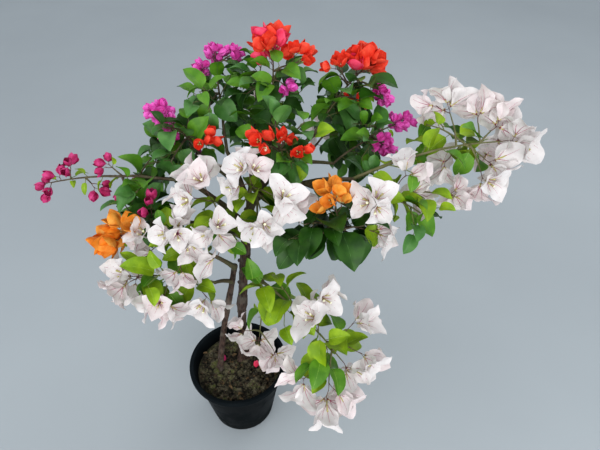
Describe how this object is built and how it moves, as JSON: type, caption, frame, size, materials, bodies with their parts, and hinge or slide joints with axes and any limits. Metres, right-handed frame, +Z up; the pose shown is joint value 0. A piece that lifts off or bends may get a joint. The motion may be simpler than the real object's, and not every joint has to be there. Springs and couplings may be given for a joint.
{
  "type": "bougainvillea bush in a nursery pot",
  "caption": "Grafted bougainvillea in its pot: bare woody stems, a spreading crown with long arching and hanging canes, and papery bracts in white, magenta, red and orange.",
  "frame": {"origin": "the centre of the pot's flat underside", "axes": "+Z up along the pot's axis, +X to the right and +Y away from the viewer in the picture"},
  "size_m": [1.0369, 0.6634, 1.0281],
  "materials": {
    "pot_plastic": "weathered black moulded plastic with a satin lip",
    "potting_soil": "damp crumbly potting mix with bark chips and moss",
    "bark": "rough grey-brown bark, green-brown on the younger canes",
    "dark_foliage": "smooth waxy leaves, deep green",
    "light_foliage": "smooth young leaves, yellow-green",
    "white_bracts": "papery, white with a blush and pink veins",
    "magenta_bracts": "papery, magenta",
    "red_bracts": "papery, scarlet with hot pink",
    "orange_bracts": "papery, orange-yellow"
  },
  "bodies": {
    "root": {"pot": "pot_plastic", "soil": "potting_soil", "trunk": "bark", "second_stem": "bark", "bough_left": "bark", "bough_left_low": "bark", "bough_front_left": "bark", "bough_front_low": "bark", "bough_front": "bark", "bough_centre": "bark", "bough_front_right": "bark", "bough_hanging": "bark", "bough_low": "bark", "leader": "bark", "bough_right": "bark", "bough_right_low": "bark", "bough_top": "bark", "bough_back_right": "bark", "bough_crown_right": "bark", "bough_low_right": "bark", "bough_back_left": "bark", "bough_crown_left": "bark", "bough_back": "bark", "bough_low_left": "bark", "left_cane": "dark_foliage", "left_foliage": "dark_foliage", "front_left_blossom": "light_foliage", "front_left_spray": "light_foliage", "front_blossom": "light_foliage", "centre_blossom": "light_foliage", "front_right_foliage": "dark_foliage", "right_blossom": "light_foliage", "right_cane": "light_foliage", "hanging_cane": "light_foliage", "low_blossom": "light_foliage", "crown_centre": "dark_foliage", "crown_top": "dark_foliage", "crown_right_top": "dark_foliage", "crown_right": "dark_foliage", "crown_left_top": "dark_foliage", "crown_left": "dark_foliage", "back_centre": "dark_foliage", "back_right": "dark_foliage", "back_left": "dark_foliage"}
  },
  "joints": []
}
